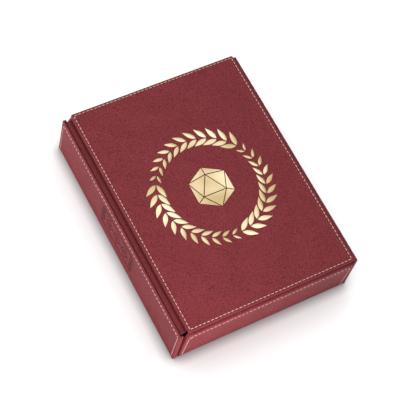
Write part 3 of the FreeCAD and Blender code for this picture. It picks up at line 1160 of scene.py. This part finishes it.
@dataclass
class HingeLeather:
    """The recessed strip of matt leather that joins the cover to the spine, bent at two creases.

    Profiles are points across the book, in millimetres from the spine's outer face and above the table.
    """

    end_inset: float = 3.1  # the strip's ends, from the book's
    tongue_inset: float = 4.3
    spacing: float = 4.0
    spine_crease: Point = (1.1, 2.05)
    cover_crease: Point = (7.2, 8.0)
    dark: tuple[Point, ...] = ((1.5, 0.7), (7.15, 0.5))  # where painted shade darkens the two creases, and how widely
    wave: float = 0.05
    wave_in: Point = (2.05, 3.0)  # the strip's face is uneven from here
    wave_out: Point = (6.0, 6.8)  # to here
    wave_above: float = 51.0  # only on the strip's upper face
    wave_width: float = 5.0
    wave_length: float = 14.0
    spine_profile: tuple[Point, ...] = (
        (1.0, 50.6), (1.25, 50.56), (1.5, 50.55), (1.75, 50.58), (1.95, 50.66), (2.15, 50.84),
        (2.4, 51.05), (2.75, 51.17), (3.4, 51.2), (4.65, 51.2), (4.65, 50.0), (2.1, 50.0), (1.9, 50.0),
        (1.65, 50.0), (1.4, 50.0), (1.2, 50.0), (1.0, 50.0))
    cover_profile: tuple[Point, ...] = (
        (4.65, 51.2), (5.9, 51.2), (6.5, 51.17), (6.8, 51.05), (7.05, 50.98), (7.25, 51.06),
        (7.45, 51.22), (7.65, 51.4), (7.85, 51.6), (8.05, 51.82), (8.3, 52.02), (8.7, 52.08),
        (17.0, 52.08), (17.0, 51.4), (8.7, 51.3), (8.3, 51.24), (8.05, 51.1), (7.85, 50.95),
        (7.65, 50.8), (7.45, 50.65), (7.25, 50.52), (7.05, 50.38), (6.7, 50.12), (6.2, 50.0),
        (4.65, 50.0))

    def sweep(self, profile: tuple[Point, ...], half: float, spine: float) -> Mesh:
        """Run a profile along the book.

        Args:
            profile: the section's outline.
            half: half the book's length.
            spine: the spine's outer face along X.

        Returns:
            The mesh, in millimetres.
        """
        shape = bmesh.new()
        face = shape.faces.new([shape.verts.new((spine + x, -half, z)) for x, z in profile])
        pull(shape, [face], (0, 2 * half, 0))
        face_out(shape)
        cut_across(shape, ALONG_Y, steps(-half, half, self.spacing))
        # Painted shade along the two creases, through the mesh attribute.
        pressed = shape.verts.layers.float.new(PAINTED_SHADE)
        for vert in shape.verts:
            across = vert.co.x - spine
            vert[pressed] = max(bell(across - place, width) for place, width in self.dark)
            share = smooth(*self.cover_crease, across)
            inset = self.end_inset + (self.tongue_inset - self.end_inset) * share
            vert.co.y *= (half - inset) / half
            strip = smooth(*self.wave_in, across) * (1 - smooth(*self.wave_out, across))
            if vert.co.z > self.wave_above:
                spot = Vector((across / self.wave_width, vert.co.y / self.wave_length, 0))
                vert.co.z += self.wave * strip * noise.noise(spot)
        return shape

    def build(self, finishes: Finishes) -> None:
        """Add the two halves of the strip, which meet along its middle and bend at one crease each.

        Args:
            finishes: the tray's materials.
        """
        low, high = box_mm("spine_skin")
        for name, profile, nodes, crease, pair in (
                ("hinge_leather_spine", self.spine_profile, ("hinge_strip", "spine_crease"),
                 self.spine_crease, (Body.SPINE, Body.STRIP)),
                ("hinge_leather_cover", self.cover_profile, ("cover_crease", "cover_tongue"),
                 self.cover_crease, (Body.STRIP, Body.COVER))):
            piece = save_piece(name, self.sweep(profile, high.y, low.x), Matrix.Identity(4), finishes,
                               Slot.STRIP, nodes)
            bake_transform(piece)


@dataclass
class Emblem:
    """Gold foil on the cover: a plain twenty-sided die inside a wreath of three leafy sprays.

    Sizes are in millimetres and angles in degrees.
    """

    die_radius: float = 22.2
    die_relief: float = 0.55
    facet_gap: float = 0.9
    facet_height: float = 0.22
    facet_slope: float = 0.55
    facet_rise: float = 0.12
    wreath_radius: float = 52.0
    spray_count: int = 3
    spray_turn: float = 35.0
    leaf_pairs: int = 11
    leaf_length: float = 15.0
    leaf_width: float = 4.9
    leaf_taper: float = 0.45
    leaf_lean: float = 36.0
    leaf_start: float = 0.6
    leaf_relief: float = 0.5
    leaf_edge: float = 0.16
    leaf_belly: float = 0.8  # under 1 puts the widest part nearer the stalk
    leaf_point: float = 0.02  # the width left at the tip, as a share

    def build_die(self) -> Mesh:
        """Flatten the upper facets of an icosahedron to a low relief, with a line between facets.

        Returns:
            The die's mesh.
        """
        shape = bmesh.new()
        ball = bmesh.ops.create_icosphere(shape, subdivisions=1, radius=1.0)
        shape.normal_update()
        face = shape.faces[:][0]
        bmesh.ops.rotate(shape, verts=ball["verts"], cent=(0, 0, 0),
                         matrix=face.normal.rotation_difference(ALONG_Z).to_matrix())
        shape.normal_update()
        hidden = [f for f in shape.faces if f.normal.z < 0.05]
        bmesh.ops.delete(shape, geom=hidden, context="FACES")
        corner = max(shape.faces, key=lambda f: f.normal.z).verts[0].co
        turn = Matrix.Rotation(QUARTER - math.atan2(corner.y, corner.x), 4, "Z")
        rim = max(math.hypot(v.co.x, v.co.y) for v in shape.verts)
        low = min(v.co.z for v in shape.verts)
        top = max(v.co.z for v in shape.verts)
        for vert in shape.verts:
            vert.co.z = (vert.co.z - low) / (top - low) * self.die_relief + self.facet_height
            vert.co.x *= self.die_radius / rim
            vert.co.y *= self.die_radius / rim
        bmesh.ops.transform(shape, matrix=turn, verts=shape.verts[:])
        bmesh.ops.split_edges(shape, edges=shape.edges[:])
        rings = bmesh.ops.inset_individual(shape, faces=shape.faces[:], thickness=self.facet_gap / 2,
                                           use_even_offset=True)
        bmesh.ops.delete(shape, geom=rings["faces"], context="FACES")
        pulled = bmesh.ops.extrude_discrete_faces(shape, faces=shape.faces[:])["faces"]
        bmesh.ops.inset_individual(shape, faces=pulled, thickness=self.facet_slope,
                                   depth=self.facet_rise, use_even_offset=True)
        return shape

    def add_leaf(self, shape: Mesh, length: float, width: float, place: Matrix) -> None:
        """Add a pointed leaf whose two halves slope from a raised rib.

        Args:
            shape: the mesh that takes the leaf.
            length: stalk to tip.
            width: the widest part.
            place: the stalk's place and the leaf's direction.
        """
        before = len(shape.faces)
        grid = bmesh.ops.create_grid(shape, x_segments=7, y_segments=4, size=0.5)["verts"]
        for vert in grid:
            along, across = vert.co.x + 0.5, vert.co.y * 2
            bulge = math.sin(math.pi * along ** self.leaf_belly)
            rib = self.leaf_relief * (1 - abs(across)) * bulge + self.leaf_edge
            vert.co = Vector((along * length, across * width / 2 * max(bulge, self.leaf_point), rib))
        raised = pull(shape, shape.faces[:][before:], (0, 0, 0))
        for vert in grid:
            vert.co.z = 0.0
        bmesh.ops.transform(shape, matrix=place, verts=[*grid, *raised])

    def build_wreath(self) -> Mesh:
        """Set pairs of leaves round a circle, smaller towards each spray's tip.

        Returns:
            The wreath's mesh.
        """
        shape = bmesh.new()
        count = self.spray_count * self.leaf_pairs
        for i in range(count):
            share = 1 - self.leaf_taper * (i % self.leaf_pairs / (self.leaf_pairs - 1)) ** 2
            angle = math.radians(self.spray_turn + 360 / count * i)
            for side in (1, -1):
                reach = self.wreath_radius + side * self.leaf_start
                stalk = Matrix.Translation((reach * math.cos(angle), reach * math.sin(angle), 0))
                turn = Matrix.Rotation(angle + math.radians(90 - side * self.leaf_lean), 4, "Z")
                self.add_leaf(shape, self.leaf_length * share, self.leaf_width * share, stalk @ turn)
        face_out(shape)
        return shape

    def build(self, finishes: Finishes) -> None:
        """Add the die and the wreath on the middle of the cover.

        Args:
            finishes: the tray's materials.
        """
        low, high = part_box("cover_skin")
        place = Matrix.Translation(((low.x + high.x) / 2, (low.y + high.y) / 2, high.z))
        for name, shape, node in (("die_foil", self.build_die(), "foil_die"),
                                  ("wreath_foil", self.build_wreath(), "foil_wreath")):
            piece = save_piece(name, shape, place, finishes, Slot.FOIL, [node])
            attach(piece, Body.COVER.value)


# --- Studio ---


@dataclass(frozen=True)
class Softbox:
    """A square studio light that points at a place on the tray. In metres, degrees and watts."""

    name: str
    azimuth: float
    elevation: float
    distance: float
    size: float
    power: float
    aim: tuple[float, float, float]
    spread: float


@dataclass
class Studio:
    """A pale floor, an even light tent, two softboxes and the camera.

    In metres and degrees, with the lens in millimetres.
    """

    azimuth: float = -45.30
    elevation: float = 61.37
    roll: float = 19.42
    distance: float = 1.3856
    lens: float = 127.15
    clip_end: float = 20.0
    target: Vector = field(default_factory=lambda: Vector((0.00041, -0.00583, 0.024)))
    tent_light: float = 1.95
    tent_foot: float = 0.25
    tent_edge: tuple[float, float] = (0.5, 0.7)  # how high on a unit dome it starts and is full
    tent_tilt: tuple[float, float, float] = (9.0, 5.0, 0.0)
    floor_colour: str = "#f8f8f8"
    floor_reach: float = 4.0
    contact: float = 0.011  # how far the dark contact shadow reaches
    lights: tuple[Softbox, ...] = (
        Softbox("left", -126.0, 12.0, 0.6, 0.3, 1.7, (-0.09, 0.12, 0.03), 110.0),
        Softbox("front_corner", -14.0, 22.0, 0.55, 0.15, 0.58, (-0.1, -0.12, 0.03), 50.0),
    )

    def direction(self, azimuth: float, elevation: float) -> Vector:
        """From the tray towards a place round it, azimuth 0 on the front side.

        Args:
            azimuth: degrees round the tray.
            elevation: degrees above the table.

        Returns:
            The direction, one metre long.
        """
        turn, rise = math.radians(azimuth), math.radians(elevation)
        return Vector((math.sin(turn) * math.cos(rise), -math.cos(turn) * math.cos(rise),
                       math.sin(rise)))

    def build_floor(self) -> None:
        """Lay the table top."""
        shape = bmesh.new()
        bmesh.ops.create_grid(shape, x_segments=1, y_segments=1, size=self.floor_reach)
        mesh = bpy.data.meshes.new("floor")
        shape.to_mesh(mesh)
        shape.free()
        paper, shader = start_material("floor_paper")
        # Painted contact shadow: the ambient occlusion node darkens the floor's colour near the tray.
        near = add_node(paper, "ShaderNodeAmbientOcclusion",
                        {"Color": linear(self.floor_colour), "Distance": self.contact})
        connect(paper, shader, {"Base Color": output(near, "Color"), "Roughness": 0.9,
                                "Specular IOR Level": 0.1})
        mesh.materials.append(paper)
        floor = bpy.data.objects.new("floor", mesh)
        bpy.context.scene.collection.objects.link(floor)
        floor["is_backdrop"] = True

    def build_tent(self) -> None:
        """Set the even light of a light tent, bright above and dim near the table."""
        world = bpy.data.worlds.new("light_tent")
        world.use_nodes = True
        way = output(add_node(world, "ShaderNodeTexCoord"), "Generated")
        tilt = tuple(math.radians(angle) for angle in self.tent_tilt)
        tilted = output(add_node(world, "ShaderNodeMapping", {"Vector": way, "Rotation": tilt}), "Vector")
        height = output(add_node(world, "ShaderNodeSeparateXYZ", {"Vector": tilted}), "Z")
        glow = add_node(world, "ShaderNodeMapRange",
                        {"Value": height, "From Min": self.tent_edge[0], "From Max": self.tent_edge[1],
                         "To Min": self.tent_foot, "To Max": self.tent_light},
                        interpolation_type="SMOOTHSTEP")
        connect(world, world.node_tree.nodes["Background"],
                {"Color": linear("#ffffff"), "Strength": output(glow, "Result")})
        bpy.context.scene.world = world

    def build_lights(self) -> None:
        """Hang the softboxes, flagged off the table so that they only light the tray."""
        tray = bpy.data.collections.new("tray")
        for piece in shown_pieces():
            tray.objects.link(piece)
        for box in self.lights:
            light = bpy.data.lights.new(box.name, "AREA")
            light.shape = "SQUARE"
            light.size = box.size
            light.energy = box.power
            light.spread = math.radians(box.spread)
            lamp = bpy.data.objects.new(box.name, light)
            away = self.direction(box.azimuth, box.elevation)
            lamp.location = Vector(box.aim) + away * box.distance
            lamp.rotation_euler = away.to_track_quat("Z", "Y").to_euler()
            lamp.light_linking.receiver_collection = tray
            bpy.context.scene.collection.objects.link(lamp)

    def build_camera(self) -> None:
        """Stand the camera, turned a little about its own line of sight."""
        camera = bpy.data.objects.new("camera", bpy.data.cameras.new("camera"))
        camera.data.lens = self.lens
        camera.data.clip_end = self.clip_end
        away = self.direction(self.azimuth, self.elevation)
        turn = math.radians(self.azimuth)
        right = Vector((math.cos(turn), math.sin(turn), 0))
        axes = Matrix((right, away.cross(right), away)).transposed().to_4x4()
        spot = Matrix.Translation(self.target + away * self.distance)
        camera.matrix_world = spot @ axes @ Matrix.Rotation(math.radians(self.roll), 4, "Z")
        bpy.context.scene.collection.objects.link(camera)
        bpy.context.scene.camera = camera

    def build(self) -> None:
        """Set the whole studio up."""
        bpy.context.scene.view_settings.view_transform = "Standard"
        self.build_floor()
        self.build_tent()
        self.build_lights()
        self.build_camera()


def main() -> None:
    """Build the tray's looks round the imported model."""
    logging.basicConfig(level=logging.INFO, format="%(message)s")
    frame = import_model()
    finishes = Finishes()
    finishes.dress(frame["nodes"])
    for part in (Base(), Walls(frame["joints"]), Cover(), HingeLeather(), Emblem()):
        part.build(finishes)
    Studio().build()


if __name__ == "__main__":
    main()
